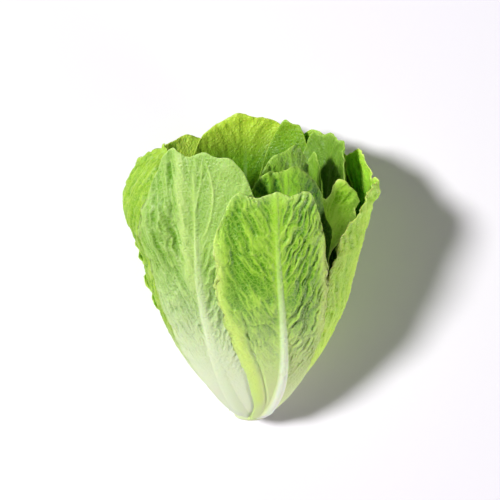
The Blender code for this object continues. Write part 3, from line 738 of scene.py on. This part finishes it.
class Blade:
    """The fine surface of one leaf: its outline, its relief and the masks that its material reads.

    In it, u is the place across the leaf, from -1 to 1, t the share of its length, s and y the distances in
    millimetres from the midrib and from the foot, and edge the distance from the nearest margin.
    """

    ROW_CROWDING = 1.15  # rows are closer together at the foot
    VEIN_HALF = 0.7  # half width of a side vein
    FOLDS_FROM, FOLDS_OVER = 0.18, 0.3  # shares of the length where folds begin and over which they grow
    RIB_CLEAR, RIB_EASE = 1.5, 6.0  # the same outwards from the midrib, in millimetres
    CREASE = 0.16  # how far up a fold's sides its pale line reaches
    CRIMP_REACH = 7.0  # how far the margin's crimps reach inwards
    FINE_TEETH, BROAD_TEETH = 2.6, 9.0  # lengths of the side margins' teeth
    FINE_POINTS, BROAD_POINTS = 3.1, 9.0  # the same along the top edge
    EDGE_THIN = 0.55  # share of the thickness that the margin lacks
    PRESSED_FLAT = 0.8  # a sheet pressed in by this share has no relief

    def __init__(self, leaf: Leaf, head: LaidHead, seed: int) -> None:
        """Works out the leaf.

        Args:
            leaf: the leaf.
            head: the laid head that holds its sheet.
            seed: picks the leaf's own grain.
        """
        self.leaf = leaf
        self.head = head
        self.form = head.form
        self.grain = Grain(seed)
        columns, rows = leaf.grid
        self.u = np.linspace(-1, 1, columns + 1)[None, :] * np.ones((rows + 1, 1))
        share = np.linspace(0, 1, rows + 1)[:, None] ** self.ROW_CROWDING
        foot = leaf.foot * MM
        self.h = foot + share * (self.top() - foot)
        self.own = Sheet(self.form, leaf, self.h)
        self.t = self.own.t
        self.width = self.own.half * self.own.side_share(self.u) / MM
        self.y = (self.h - foot) / MM
        self.s = self.u * self.width + self.margin_teeth()
        self.edge = np.minimum(self.width - np.abs(self.u) * self.width, (self.top() - self.h) / MM)

    def top(self) -> Floats:
        """Height of the top edge over each column: rounded corners, waves, the crest's points and teeth.

        Returns:
            The height at each point's column.
        """
        leaf = self.leaf
        u = self.u
        length = (leaf.tip - leaf.foot) * MM
        top = leaf.tip * MM - length * self.form.top_round * np.abs(u) ** leaf.square
        top = top + self.form.top_wave * (np.sin(self.form.top_waves * math.pi * u + leaf.phase) - 1)
        if leaf.crest:
            at, rise = zip(*leaf.crest)
            top = top + np.interp(u, at, rise) * MM
        across = u * leaf.width
        fine = self.grain.smooth(across / self.FINE_POINTS, np.zeros_like(u)) * leaf.teeth / 2
        broad = self.grain.smooth(across / self.BROAD_POINTS, np.full_like(u, 7.5)) * leaf.teeth
        return top + (fine + broad) * MM

    def margin_teeth(self) -> Floats:
        """Sideways shift of the outermost columns: fine teeth on soft lobes, in millimetres.

        Returns:
            The shift along s.
        """
        side = np.sign(self.u)
        fine = self.grain.smooth(self.y / self.FINE_TEETH, 11.5 + side)
        lobes = self.grain.smooth(self.y / self.BROAD_TEETH, 21.5 + side)
        reach = np.abs(self.u) ** 12 * smooth_step((self.t - 0.12) / 0.2)
        return side * reach * self.leaf.teeth * (0.8 * fine + 1.6 * lobes)

    def rib(self) -> Floats:
        """The midrib's mask: 1 on its crest, falling to 0 a little outside its half width."""
        return np.exp(-((self.s / (0.8 * (self.own.rib_half / MM * self.leaf.rib_wide))) ** 2))

    def vein_place(self) -> Floats:
        """Which side vein a point is on: whole numbers on the veins, which leave the midrib at an angle.

        A vein rises by the lead times its distance from the midrib, plus the bow times its square, and
        wanders a little. Low on the leaf the veins run steeper.

        Returns:
            The vein's number, with shares between veins.
        """
        leaf = self.leaf
        out = np.abs(self.s)
        lead = leaf.lead + 1.2 * (1 - smooth_step(self.t / 0.4))
        wander = 3.0 * self.grain.smooth(self.s / 22, self.y / 22)
        wander = wander + 0.9 * self.grain.smooth(self.s / 7, self.y / 7)
        return (self.y - lead * out - leaf.bow * out**2 + wander) / self.pitch() + 0.5 * (self.s > 0)

    def pitch(self) -> Floats:
        """Distance between the side veins, wider towards the tip."""
        return self.leaf.pitch + self.leaf.spread * self.t

    def relief(self) -> dict[str, Floats]:
        """The leaf's relief in millimetres and its masks.

        In the noise, divisors are sizes in millimetres, and added numbers pick other parts of the grain.

        Returns:
            lift: how far the whole sheet moves out. It sinks in between wandering folds.
            proud: how far veins stand out of the outer face.
            vein, cell, pale: masks for the material. The cell mask is lowest in the hollows, which the
                material paints darker, partly as painted shade; pleats that darken lower it as painted shade.
        """
        leaf = self.leaf
        place = self.vein_place()
        out = np.abs(self.s)
        side = np.where(self.s > 0, 31.0, 0.0)
        from_vein = np.abs(place - np.round(place)) * self.pitch() * 0.75
        fading = smooth_step(0.6 + 0.9 * self.grain.smooth(self.s / 16 + 40, self.y / 10))
        strength = smooth_step((self.t - 0.10) / 0.25) * np.clip(1.2 - out / self.width, 0.0, 1.0) * fading
        vein = np.exp(-((from_vein / self.VEIN_HALF) ** 2)) * strength
        length = leaf.stretch * self.pitch()
        shift_a = 0.4 * self.grain.smooth(self.s / 8 + 5, self.y / 8)
        shift_b = 0.4 * self.grain.smooth(self.s / 8 + 25, self.y / 8 + 9)
        broad_fold = self.fold(1.05 * place + shift_a + side, 1.1 * out / length + shift_b)
        small_fold = self.fold(2.4 * place + 1.6 * shift_a + side + 7, 2.3 * out / length + 1.6 * shift_b)
        tiny_fold = self.fold(self.s / 2.3 + 3, self.y / 2.7)
        pale = np.zeros_like(out)
        raised = np.zeros_like(out)
        for pleat in leaf.pleats:
            shape = pleat.profile(self.u, self.t, self.width)
            raised = raised + pleat.height * shape
            pale = pale + pleat.pale * shape
        calm = np.maximum(self.calm(), np.clip(1.4 * pale, 0.0, 1.0))
        body = smooth_step((self.t - self.FOLDS_FROM) / self.FOLDS_OVER)
        body = body * smooth_step((out - self.RIB_CLEAR) / self.RIB_EASE) * (1 - 0.8 * calm)
        broad = self.grain.smooth(self.s / 26 + 3.3, self.y / 34) * 1.2
        hollow = 0.6 * broad_fold + 0.35 * small_fold + 0.15 * tiny_fold
        bulge = -leaf.pucker * (1.5 * broad_fold + 0.55 * small_fold + 0.25 * tiny_fold - 1.0)
        rim = np.exp(-self.edge / self.CRIMP_REACH)
        crimp = leaf.ruffle * rim * (
            self.grain.smooth((self.y + 0.4 * self.s) / 6.5, out / 30 + 2)
            + 0.5 * self.grain.smooth(self.y / 3.2, out / 20 + 8)
        )
        crease = np.exp(-((broad_fold / self.CREASE) ** 2)) * body
        return {
            "lift": (bulge + broad) * body + crimp * smooth_step(self.t / 0.3) + raised,
            "proud": leaf.vein * vein,
            "vein": np.maximum(vein, 0.7 * crease),
            # The cell mask darkens hollows and darkening pleats: in part painted shade.
            "cell": 1 - hollow * body + np.minimum(pale, 0.0),
            "pale": np.maximum(pale, 0.0),
        }

    def fold(self, x: Floats, y: Floats) -> Floats:
        """Crumpled folds: 0 along sharp wandering lines, rising to 1 between them."""
        return np.minimum(np.abs(self.grain.rough(x, y)) / 0.5, 1.0)

    def calm(self) -> Floats:
        """1 in the middle of the leaf's smooth patch, falling to 0 outside it.

        Returns:
            The mask, all 0 for a leaf without such a patch.
        """
        u, t, half_u, half_t = self.leaf.calm
        if not half_u:
            return np.zeros_like(self.u)
        away = np.hypot((self.u - u) / half_u, (self.t - t) / half_t)
        return 1 - smooth_step((away - 0.6) / 0.6)

    def build(self) -> bpy.types.Object:
        """The leaf as a closed mesh with its masks and a UV map in metres along and across the leaf.

        Returns:
            The object, in the scene.
        """
        own, head, relief = self.own, self.head, self.relief()
        azimuth = own.midrib + np.degrees(self.s * MM / own.shell)
        share = head.sample(head.press, azimuth, self.h)
        radius = head.sample(head.sheets[self.leaf.name], azimuth, self.h) * share
        sheet = head.lying(azimuth, radius, self.h)
        normal = np.cross(np.gradient(sheet, axis=1), np.gradient(sheet, axis=0))
        normal /= np.maximum(np.linalg.norm(normal, axis=-1, keepdims=True), 1e-12)
        free = smooth_step((share - self.PRESSED_FLAT) / (1 - self.PRESSED_FLAT))
        if self.leaf.slot is not Slot.OUTER:
            free = np.ones_like(share)
        thick = (own.thickness(self.u) - (1 - self.leaf.rib_rise) * own.rib_part(self.u)) * share
        thick = thick * (1 - self.EDGE_THIN * np.exp(-self.edge / 1.5))
        lift = relief["lift"] * free * MM
        inner = sheet + normal * lift[..., None]
        outer = sheet + normal * (lift + thick + relief["proud"] * free * MM)[..., None]
        points = np.concatenate([inner.reshape(-1, 3), outer.reshape(-1, 3)])
        points[:, 2] = np.maximum(points[:, 2], 0.0)
        masks = {key: relief[key] for key in ("vein", "cell", "pale")}
        masks |= {"rib": self.rib(), "up": self.t, "rim": np.exp(-self.edge / self.leaf.rim_wide)}
        masks = {name: np.tile(mask.reshape(-1), 2) for name, mask in masks.items()}
        masks["face"] = np.repeat([0.0, 1.0], self.u.size)
        uv = np.tile(np.stack([self.s, self.y], axis=-1).reshape(-1, 2) * MM, (2, 1))
        return make_mesh(f"{self.leaf.name}_blade", points, slab_faces(*self.u.shape), uv, masks)


def slab_faces(rows: int, columns: int) -> NDArray[np.int32]:
    """Faces of a slab: two grids of points, one over the other, closed round the border.

    Args:
        rows: rows of points in each grid.
        columns: columns of points in each grid.

    Returns:
        Four point numbers a face. The second grid is the outer one.
    """
    index = np.arange(rows * columns, dtype=np.int32).reshape(rows, columns)
    a, b, c, d = index[:-1, :-1], index[:-1, 1:], index[1:, 1:], index[1:, :-1]
    grid = np.stack([a, b, c, d], axis=-1).reshape(-1, 4)
    border = np.concatenate([index[0, :-1], index[:-1, -1], index[-1, :0:-1], index[:0:-1, 0]])
    ahead = np.roll(border, -1)
    upper = rows * columns
    wall = np.stack([border, ahead, ahead + upper, border + upper], axis=-1)
    return np.concatenate([grid[:, ::-1], grid + upper, wall])


def make_mesh(
    name: str, points: Floats, faces: NDArray[np.int32], uv: Floats, masks: dict[str, Floats]
) -> bpy.types.Object:
    """Puts arrays into a new object's mesh.

    Args:
        name: the object's name.
        points: x, y and z of each point.
        faces: four point numbers a face.
        uv: two texture coordinates of each point.
        masks: values of each point, by attribute name.

    Returns:
        The object, in the scene, shaded smooth.
    """
    mesh = bpy.data.meshes.new(name)
    mesh.from_pydata(points, [], faces)
    mesh.validate()
    layer = mesh.uv_layers.new(name=UV_MAP)
    corners = np.empty(len(mesh.loops), dtype=np.int32)
    mesh.loops.foreach_get("vertex_index", corners)
    layer.data.foreach_set("uv", uv[corners].astype(np.float32).reshape(-1))
    for key, mask in masks.items():
        mesh.attributes.new(key, "FLOAT", "POINT").data.foreach_set("value", mask.astype(np.float32))
    mesh.shade_smooth()
    return show(name, mesh)


def show(name: str, data: bpy.types.ID) -> bpy.types.Object:
    """A new object in the scene with that data.

    Args:
        name: the object's name.
        data: its mesh, light or camera.

    Returns:
        The object.
    """
    made = bpy.data.objects.new(name, data)
    bpy.context.scene.collection.objects.link(made)
    return made


class Tree:
    """A node tree with short calls for adding and linking nodes."""

    def __init__(self, tree: bpy.types.NodeTree) -> None:
        """Keeps the tree."""
        self.tree = tree

    @classmethod
    def of_new_material(cls, mesh: bpy.types.Mesh, name: str) -> tuple["Tree", bpy.types.Node]:
        """Gives a mesh a new material.

        Args:
            mesh: the mesh.
            name: the material's name.

        Returns:
            The material's tree and its shader.
        """
        material = bpy.data.materials.new(name)
        material.use_nodes = True
        mesh.materials.append(material)
        return cls(material.node_tree), material.node_tree.nodes["Principled BSDF"]

    def fill(self, node: bpy.types.Node, inputs: dict[str | int, Value]) -> None:
        """Links each named input to its output, or sets its value.

        Args:
            node: the node.
            inputs: links or values by the inputs' names or numbers.
        """
        for key, value in inputs.items():
            if isinstance(value, Socket):
                self.tree.links.new(value, node.inputs[key])
            else:
                node.inputs[key].default_value = value

    def add(self, kind: str, inputs: dict[str | int, Value], **settings: object) -> Outputs:
        """The outputs of a new node of that kind, with those settings and inputs.

        Args:
            kind: the node's type.
            inputs: links or values by the inputs' names or numbers.
            settings: the node's own settings.

        Returns:
            Its outputs.
        """
        node = self.tree.nodes.new(kind)
        for key, value in settings.items():
            setattr(node, key, value)
        self.fill(node, inputs)
        return node.outputs

    def mask(self, name: str) -> Socket:
        """A mask that the mesh carries."""
        return self.add("ShaderNodeAttribute", {}, attribute_name=name)["Fac"]

    def math(self, operation: str, *values: Value, clamp: bool = False) -> Socket:
        """A Math node's result."""
        return self.add("ShaderNodeMath", dict(enumerate(values)), operation=operation, use_clamp=clamp)[0]

    def times(self, value: Value, factor: Value) -> Socket:
        """One value times another."""
        return self.math("MULTIPLY", value, factor)

    def mix(self, share: Value, low: Value, high: Value) -> Socket:
        """A colour between two others."""
        return self.add("ShaderNodeMix", {0: share, 6: low, 7: high}, data_type="RGBA")[2]

    def ramp(self, value: Value, low: Value, high: Value, end: float = 1.0, start: float = 0.0) -> Socket:
        """A value eased from start at low to end at high."""
        inputs = {"Value": value, "From Min": low, "From Max": high, "To Min": start, "To Max": end}
        return self.add("ShaderNodeMapRange", inputs, interpolation_type="SMOOTHSTEP")["Result"]

    def noise(self, place: Socket, scale: float, detail: float, rough: float = 0.5) -> Outputs:
        """A Noise Texture node's outputs."""
        inputs = {"Vector": place, "Scale": scale, "Detail": detail, "Roughness": rough}
        return self.add("ShaderNodeTexNoise", inputs)

    def bump(self, height: Socket, strength: float, distance: float) -> Socket:
        """A normal bent by a height."""
        inputs = {"Height": height, "Strength": strength, "Distance": distance}
        return self.add("ShaderNodeBump", inputs)["Normal"]


class LeafDress:
    """Makes a leaf's material from its finish."""

    FLOAT, COLOUR, VECTOR = "NodeSocketFloat", "NodeSocketColor", "NodeSocketVector"
    CELLS_PER_METRE = 300.0  # of the net of fine veins
    NO_TIP = 0.999  # the outer face has no tip colour: it would begin only here
    MOTTLE, CELL, DARKEST = 0.4, 1.2, 0.45  # the shade is mottle and cell at these weights, less the darkest
    NET_VEINS, SIDE_VEINS, INNER_VEINS = 0.35, 0.8, 0.6  # how strongly each kind, and the inner face, is pale
    REACH = 1.8 * MM  # how far light spreads in the flesh
    SPREAD = (0.7, 1.0, 0.25)  # share of that for red, green and blue
    FINE_RELIEF = 0.5 * MM

    def __init__(self) -> None:
        """Builds the node groups that the leaves share."""
        self.net = self.vein_net()
        self.tint = self.leaf_tint()

    @staticmethod
    def group(
        name: str, inputs: dict[str, str], outputs: list[str], kind: str
    ) -> tuple[Tree, Outputs, bpy.types.Node]:
        """A new node group with those sockets.

        Args:
            name: the group's name.
            inputs: socket types by name.
            outputs: names of what it puts out.
            kind: the outputs' socket type.

        Returns:
            Its tree, its input node's outputs and its output node.
        """
        made = bpy.data.node_groups.new(name, "ShaderNodeTree")
        for key, input_kind in inputs.items():
            made.interface.new_socket(key, in_out="INPUT", socket_type=input_kind)
        for key in outputs:
            made.interface.new_socket(key, in_out="OUTPUT", socket_type=kind)
        tree = Tree(made)
        return tree, tree.add("NodeGroupInput", {}), made.nodes.new("NodeGroupOutput")

    def vein_net(self) -> bpy.types.NodeTree:
        """Fine veins: the borders of wandering cells, and the little cushions between them.

        Returns:
            The group, which puts out the masks of both and a mottle.
        """
        inputs, outputs = {"Vector": self.VECTOR, "Size": self.FLOAT}, ["Veins", "Cushions", "Mottle"]
        tree, given, out = self.group("fine_vein_net", inputs, outputs, self.FLOAT)
        wander = tree.noise(given["Vector"], scale=160.0, detail=2.0)["Color"]
        moved = tree.add("ShaderNodeVectorMath", {0: wander, "Scale": 0.0022}, operation="SCALE")[0]
        place = tree.add("ShaderNodeVectorMath", {0: given["Vector"], 1: moved}, operation="ADD")[0]
        cells = {"Vector": place, "Scale": given["Size"]}
        border = tree.add("ShaderNodeTexVoronoi", cells, feature="DISTANCE_TO_EDGE")["Distance"]
        mottle = tree.noise(given["Vector"], scale=70.0, detail=5.0, rough=0.65)["Fac"]
        veins, cushions = tree.ramp(border, 0.16, 0.0), tree.ramp(border, 0.0, 0.4)
        tree.fill(out, {"Veins": veins, "Cushions": cushions, "Mottle": mottle})
        return tree.tree

    def leaf_tint(self) -> bpy.types.NodeTree:
        """One face's colour: hollow to blade by its shade, the tip, the veins, the pale base and the rim.

        Returns:
            The group, which puts out the colour.
        """
        colours = ["Hollow", "Blade", "Vein", "Base", "Tip", "Rim", "Pale Colour"]
        values = ["Shade", "Veins", "Up", "Base From", "Base To", "Tip From", "Edge", "Pale"]
        inputs = dict.fromkeys(colours, self.COLOUR) | dict.fromkeys(values, self.FLOAT)
        tree, given, out = self.group("leaf_tint", inputs, ["Color"], self.COLOUR)
        colour = tree.mix(given["Shade"], given["Hollow"], given["Blade"])
        colour = tree.mix(tree.ramp(given["Up"], given["Tip From"], 1.0, end=0.85), colour, given["Tip"])
        colour = tree.mix(given["Veins"], colour, given["Vein"])
        base = tree.ramp(given["Up"], given["Base From"], given["Base To"], end=0.0, start=1.0)
        colour = tree.mix(base, colour, given["Base"])
        colour = tree.mix(given["Pale"], colour, given["Pale Colour"])
        tree.fill(out, {"Color": tree.mix(given["Edge"], colour, given["Rim"])})
        return tree.tree

    def side(self, tree: Tree, finish: Finish, outer: bool, shade: Socket, veins: Socket) -> Socket:
        """The colour of one face of the leaf.

        Args:
            tree: the material's tree.
            finish: the leaf's finish.
            outer: whether it is the outer face.
            shade: 0 in hollows, 1 on the blade.
            veins: strength of the veins' colour.

        Returns:
            The colour's socket.
        """
        inputs = {
            "Hollow": linear(finish.hollow if outer else finish.inner_hollow),
            "Blade": linear(finish.blade if outer else finish.inner_blade),
            "Vein": linear(finish.vein if outer else finish.inner_vein),
            "Tip": linear(finish.blade if outer else finish.inner_tip),
            "Tip From": self.NO_TIP if outer else finish.tip_from,
            "Base": linear(finish.base),
            "Base From": finish.base_from,
            "Base To": finish.base_to,
            "Rim": linear(finish.rim),
            "Pale Colour": linear(finish.pale),
            "Shade": shade,
            "Veins": veins,
            "Up": tree.mask("up"),
            "Edge": tree.times(tree.mask("rim"), 0.75),
            "Pale": tree.math("MULTIPLY", tree.mask("pale"), 1.0, clamp=True),
        }
        return tree.add("ShaderNodeGroup", inputs, node_tree=self.tint)["Color"]

    def dress(self, piece: bpy.types.Object, leaf: Leaf) -> None:
        """Gives a leaf its material: tinted faces, pale veins and midrib, fine relief, light in its flesh.

        Args:
            piece: the leaf's object.
            leaf: the leaf.
        """
        finish = leaf.finish
        tree, shader = Tree.of_new_material(piece.data, f"{leaf.name}_finish")
        place = tree.add("ShaderNodeUVMap", {}, uv_map=UV_MAP)["UV"]
        inputs = {"Vector": place, "Size": self.CELLS_PER_METRE}
        net = tree.add("ShaderNodeGroup", inputs, node_tree=self.net)
        up = tree.mask("up")
        mottle = tree.ramp(net["Mottle"], 0.3, 0.7)
        shade = tree.math("MULTIPLY_ADD", mottle, self.MOTTLE, tree.times(tree.mask("cell"), self.CELL))
        shade = tree.math("SUBTRACT", shade, self.DARKEST, clamp=True)
        veins = tree.times(net["Veins"], self.NET_VEINS)
        veins = tree.math("MAXIMUM", veins, tree.times(tree.mask("vein"), self.SIDE_VEINS))
        outer = self.side(tree, finish, True, shade, veins)
        inner = self.side(tree, finish, False, shade, tree.times(veins, self.INNER_VEINS))
        colour = tree.mix(tree.mask("face"), inner, outer)
        fading = tree.ramp(up, finish.rib_to, 0.0)
        rib = tree.times(tree.ramp(tree.mask("rib"), 0.25, 0.75), fading)
        colour = tree.mix(rib, colour, linear(finish.rib))
        height = tree.math("MULTIPLY_ADD", net["Cushions"], -1.0, tree.times(mottle, 0.8))
        height = tree.times(height, tree.ramp(up, 0.02, 0.4))
        tree.fill(shader, {
            "Base Color": colour,
            "Roughness": tree.math("MULTIPLY_ADD", mottle, 0.16, finish.rough - 0.08),
            "Specular IOR Level": 0.35,
            "Normal": tree.bump(height, 0.6, self.FINE_RELIEF),
            "Subsurface Weight": finish.soft,
            "Subsurface Radius": self.SPREAD,
            "Subsurface Scale": self.REACH,
        })
        # Painted glow: the tip emits its own colour, a light that no lamp gives.
        if finish.painted_glow:
            painted_glow_colour = tree.mix(tree.ramp(up, 0.55, 0.95), (0.0, 0.0, 0.0, 1.0), colour)
            tree.fill(shader, {"Emission Color": painted_glow_colour, "Emission Strength": finish.painted_glow})


@dataclass(frozen=True)
class Stem:
    """The stem: a turned solid, cut flat, pressed with the leaves that stand round it."""

    sides: int = 96
    rings: int = 60
    cut_rings: int = 14
    cut_pole: float = 0.02  # radius of the cut's innermost ring, as a share of the cut's
    tip_pole: float = 0.02 * MM
    grain_pitch: float = 4 * MM  # of the rough cut
    grain_depth: float = 0.25 * MM
    ring_turns: float = 34.0  # of the cut's pale rings, in radians from its middle to its rim
    cut_white: Colour = (226, 232, 200)
    cut_tan: Colour = (188, 170, 118)
    skin: Colour = (206, 220, 170)

    def build(self, head: LaidHead) -> bpy.types.Object:
        """The stem as a closed mesh.

        Args:
            head: the laid head.

        Returns:
            The object. Its profile runs from the middle of the cut over the bevel and up the cone.
        """
        form = head.form
        cut = np.linspace(self.cut_pole, 1, self.cut_rings) * (form.cut_radius - form.cut_bevel)
        up = np.linspace(form.cut_bevel, form.stem_height - 1 * MM, self.rings)
        radius = np.concatenate([cut, form.stem_radius(up), [self.tip_pole]])
        h = np.concatenate([np.zeros_like(cut), up, [form.stem_height]])
        azimuth = np.arange(self.sides) * 360 / self.sides
        radii, azimuths = np.meshgrid(radius, azimuth, indexing="ij")
        heights = h[:, None] * np.ones_like(azimuths)
        flat = heights == 0
        turn, far = np.radians(azimuths), radii / self.grain_pitch
        grain = Grain(5).rough(far * np.cos(turn), far * np.sin(turn))
        share = head.sample(head.press, azimuths, heights)
        points = head.lying(azimuths, radii * share, heights + np.where(flat, self.grain_depth * grain, 0.0))
        rows, columns = azimuths.shape
        index = np.arange(rows * columns, dtype=np.int32).reshape(rows, columns)
        ahead = np.roll(index, -1, axis=1)
        faces = np.stack([index[:-1], ahead[:-1], ahead[1:], index[1:]], axis=-1).reshape(-1, 4)
        masks = {"cut": flat.astype(float).reshape(-1), "out": (radii / form.cut_radius).reshape(-1)}
        uv = np.stack([azimuths / 360, heights / form.stem_height], axis=-1).reshape(-1, 2)
        piece = make_mesh("stem_cut", points.reshape(-1, 3), faces, uv, masks)
        self.close_poles(piece, rows, columns)
        return piece

    @staticmethod
    def close_poles(piece: bpy.types.Object, rows: int, columns: int) -> None:
        """Fills the small rings at both ends and turns every face outwards.

        Args:
            piece: the stem's object.
            rows: rings along the profile.
            columns: points in each ring.
        """
        work = bmesh.new()
        work.from_mesh(piece.data)
        work.verts.ensure_lookup_table()
        for start in (0, (rows - 1) * columns):
            work.faces.new(work.verts[start : start + columns])
        bmesh.ops.recalc_face_normals(work, faces=work.faces)
        work.to_mesh(piece.data)
        work.free()

    def dress(self, piece: bpy.types.Object) -> None:
        """Whitish flesh with faint rings and tan speckles on the cut, pale green skin round it.

        Args:
            piece: the stem's object.
        """
        tree, shader = Tree.of_new_material(piece.data, "stem_finish")
        place = tree.add("ShaderNodeTexCoord", {})["Object"]
        speck = tree.noise(place, scale=260.0, detail=4.0)["Fac"]
        out = tree.mask("out")
        rings = tree.math("SINE", tree.times(out, self.ring_turns))
        tan = tree.math("MULTIPLY_ADD", rings, 0.06, tree.ramp(speck, 0.52, 0.68, end=0.8), clamp=True)
        tan = tree.math("MAXIMUM", tan, tree.ramp(out, 0.7, 1.0, end=0.5))
        cut = tree.mix(tan, linear(self.cut_white), linear(self.cut_tan))
        tree.fill(shader, {
            "Base Color": tree.mix(tree.mask("cut"), linear(self.skin), cut),
            "Roughness": 0.5,
            "Normal": tree.bump(speck, 0.5, 0.4 * MM),
        })


@dataclass(frozen=True)
class Lamp:
    """A round area light that shines on the middle of the head."""

    name: str
    bearing: float  # degrees from +X towards +Y
    elevation: float  # degrees above the floor
    away: float
    size: float
    power: float
    colour: tuple[float, float, float] = (1.0, 1.0, 1.0)

    def build(self, aim: Floats) -> None:
        """Makes the light.

        Args:
            aim: the point that it shines on.
        """
        light = bpy.data.lights.new(self.name, "AREA")
        light.shape = "DISK"
        light.size = self.size
        light.energy = self.power
        light.color = self.colour
        lamp = show(self.name, light)
        bearing, elevation = math.radians(self.bearing), math.radians(self.elevation)
        flat = math.cos(elevation)
        back = np.array([flat * math.cos(bearing), flat * math.sin(bearing), math.sin(elevation)])
        lamp.location = aim + back * self.away
        lamp.rotation_euler = (0.0, math.pi / 2 - elevation, bearing)


@dataclass(frozen=True)
class Studio:
    """A white floor and a camera straight above.

    A soft key light shines from the left, a low fill from the right and a faint wide light from above.
    """

    lens: float = 84.7
    height: float = 1.080  # of the camera above the floor
    ahead: float = 0.152  # how far beyond the cut's side of the box the camera stands
    beside: float = 1.5 * MM  # and how far towards +X of the box's middle
    lamps: tuple[Lamp, ...] = (
        Lamp("key", bearing=166, elevation=49.5, away=4.0, size=0.8, power=203),
        Lamp("fill", bearing=-32, elevation=9, away=2.5, size=0.6, power=34, colour=(1.0, 0.95, 1.0)),
        Lamp("top", bearing=-60, elevation=78, away=3.0, size=1.6, power=3.5),
    )
    surround: float = 0.045
    surround_tint: tuple[float, float, float, float] = (1.0, 0.92, 1.05, 1.0)
    # Tinted a little against the green light off the leaves.
    floor_white: tuple[float, float, float, float] = (0.91, 0.885, 0.935, 1.0)
    floor_half: float = 3.0  # half the floor's width

    def build(self) -> None:
        """Makes the floor, the lights and the camera."""
        scene = bpy.context.scene
        self.floor()
        scene.world = bpy.data.worlds.new("surround")
        scene.world.use_nodes = True
        inputs = {"Color": self.surround_tint, "Strength": self.surround}
        Tree(scene.world.node_tree).fill(scene.world.node_tree.nodes["Background"], inputs)
        for lamp in self.lamps:
            lamp.build(np.array([0.0, 0.0, CAD_BOX[1][2] / 2]))
        scene.camera = show("camera", bpy.data.cameras.new("camera"))
        scene.camera.data.lens = self.lens
        scene.camera.location = (self.beside, CAD_BOX[0][1] + self.ahead, self.height)
        scene.view_settings.view_transform = "Standard"

    def floor(self) -> bpy.types.Object:
        """A wide square floor at the height that the head lies on.

        Returns:
            The object, in the scene.
        """
        half = self.floor_half
        mesh = bpy.data.meshes.new("floor")
        corners = [(-half, -half, 0.0), (half, -half, 0.0), (half, half, 0.0), (-half, half, 0.0)]
        mesh.from_pydata(corners, [], [(0, 1, 2, 3)])
        tree, shader = Tree.of_new_material(mesh, "floor_finish")
        tree.fill(shader, {"Base Color": self.floor_white, "Roughness": 0.9, "Specular IOR Level": 0.1})
        return show("floor", mesh)


def main() -> None:
    """Builds the stem, the leaves and the studio, and reports each piece."""
    logging.basicConfig(level=logging.INFO, format="%(message)s")
    leaves = heart_leaves() + FRAME_LEAVES
    head = LaidHead(HeadForm(), leaves)
    dress = LeafDress()
    stem = Stem()
    piece = stem.build(head)
    stem.dress(piece)
    place_piece(piece, "stem")
    for seed, leaf in enumerate(leaves):
        piece = Blade(leaf, head, FIRST_SEED + seed).build()
        dress.dress(piece, leaf)
        place_piece(piece, leaf.name)
    Studio().build()


def place_piece(piece: bpy.types.Object, node: str) -> None:
    """Lets a piece ride on the head and stand for its CAD node.

    Args:
        piece: the piece.
        node: the CAD node's name.
    """
    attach(piece, "root")
    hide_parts(node)
    LOG.info("%s: %d faces", piece.name, len(piece.data.polygons))


if __name__ == "__main__":
    main()
